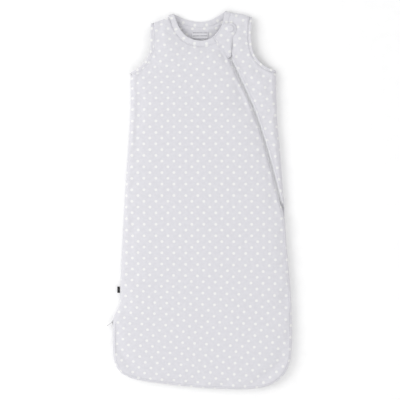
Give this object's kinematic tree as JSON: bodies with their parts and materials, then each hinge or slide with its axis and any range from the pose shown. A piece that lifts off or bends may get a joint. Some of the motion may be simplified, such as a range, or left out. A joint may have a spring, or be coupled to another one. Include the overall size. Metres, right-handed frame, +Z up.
{
  "type": "baby sleeping bag",
  "caption": "Sleeveless padded baby sleeping bag laid flat, with a two-way zip from the neck round the hem and a press-stud flap over its top.",
  "frame": {"origin": "under the middle of the bag's bounding box, on the surface that it lies on", "axes": "+Y towards the neck, +X towards the side with the zip, +Z up out of the front"},
  "size_m": [0.4106, 0.8388, 0.0262],
  "materials": {
    "dotted_knit": "soft cotton knit, pale lavender grey with white dots",
    "dotted_lining": "soft cotton knit lining, the same print",
    "wadding": "polyester wadding, hidden between shell and lining",
    "zip_tape": "woven polyester tape, light grey",
    "zip_coil": "nylon coil, light grey",
    "slider_metal": "satin grey enamel",
    "snap_metal": "plated press stud",
    "tag_ribbon": "black woven ribbon, blank",
    "label_satin": "white satin label, blank"
  },
  "bodies": {
    "bag": {"back_shell": "dotted_knit", "back_padding": "wadding", "back_lining": "dotted_lining", "front_shell_left": "dotted_knit", "front_padding_left": "wadding", "front_lining_left": "dotted_lining", "right_panel_shell": "dotted_knit", "right_panel_padding": "wadding", "right_panel_lining": "dotted_lining", "left_shoulder_seam": "dotted_knit", "right_shoulder_seam": "dotted_knit", "left_side_seam": "dotted_knit", "right_side_seam": "dotted_knit", "back_neck_band": "dotted_knit", "right_neck_band": "dotted_knit", "left_armhole_band": "dotted_knit", "right_armhole_band": "dotted_knit", "zip_tape_back": "zip_tape", "zip_coil_back": "zip_coil", "zip_guard": "dotted_lining", "zip_top_stop_right": "zip_coil", "zip_end_stop": "zip_coil", "snap_stud": "snap_metal", "snap_stud_ring": "snap_metal", "side_tag": "tag_ribbon", "neck_label": "label_satin", "care_label": "label_satin"},
    "front_panel": {"front_shell": "dotted_knit", "front_padding": "wadding", "front_lining": "dotted_lining", "front_neck_band": "dotted_knit", "zip_tape_front": "zip_tape", "zip_coil_front": "zip_coil", "zip_top_stop_left": "zip_coil"},
    "snap_flap": {"snap_flap_shell": "dotted_knit", "snap_flap_lining": "dotted_lining", "snap_socket": "snap_metal", "snap_cap": "snap_metal"},
    "upper_slider": {"upper_slider_body": "slider_metal"},
    "upper_pull": {"upper_pull_tab": "slider_metal"},
    "lower_slider": {"lower_slider_body": "slider_metal"},
    "lower_pull": {"lower_pull_tab": "slider_metal"}
  },
  "joints": [
    {"name": "front_fold", "type": "hinge", "parent": "bag", "child": "front_panel", "pos_m": [-0.05551, 0.41195, 0.0209], "axis": [-0.1995, -0.9799, 0], "range_deg": [0, 165], "deforming": ["zip_tape_front", "zip_coil_front"]},
    {"name": "snap_flap_fold", "type": "hinge", "parent": "front_panel", "child": "snap_flap", "pos_m": [0.03059, 0.36075, 0.02305], "axis": [0.5752, -0.818, 0], "range_deg": [0, 165], "deforming": ["snap_flap_shell", "snap_flap_lining"]},
    {"name": "upper_slide", "type": "slide", "parent": "bag", "child": "upper_slider", "axis": [0.421, -0.907, 0], "range_m": [0, 0.148], "deforming": ["zip_coil_back"]},
    {"name": "upper_pull_swing", "type": "hinge", "parent": "upper_slider", "child": "upper_pull", "pos_m": [0.04593, 0.36381, 0.01975], "axis": [-0.907, -0.421, 0], "range_deg": [0, 170]},
    {"name": "lower_slide", "type": "slide", "parent": "bag", "child": "lower_slider", "axis": [0, -1, 0], "range_m": [0, 0.052]},
    {"name": "lower_pull_swing", "type": "hinge", "parent": "lower_slider", "child": "lower_pull", "pos_m": [-0.19356, -0.27125, 0.01045], "axis": [0, 0, -1], "range_deg": [-50, 118]}
  ]
}
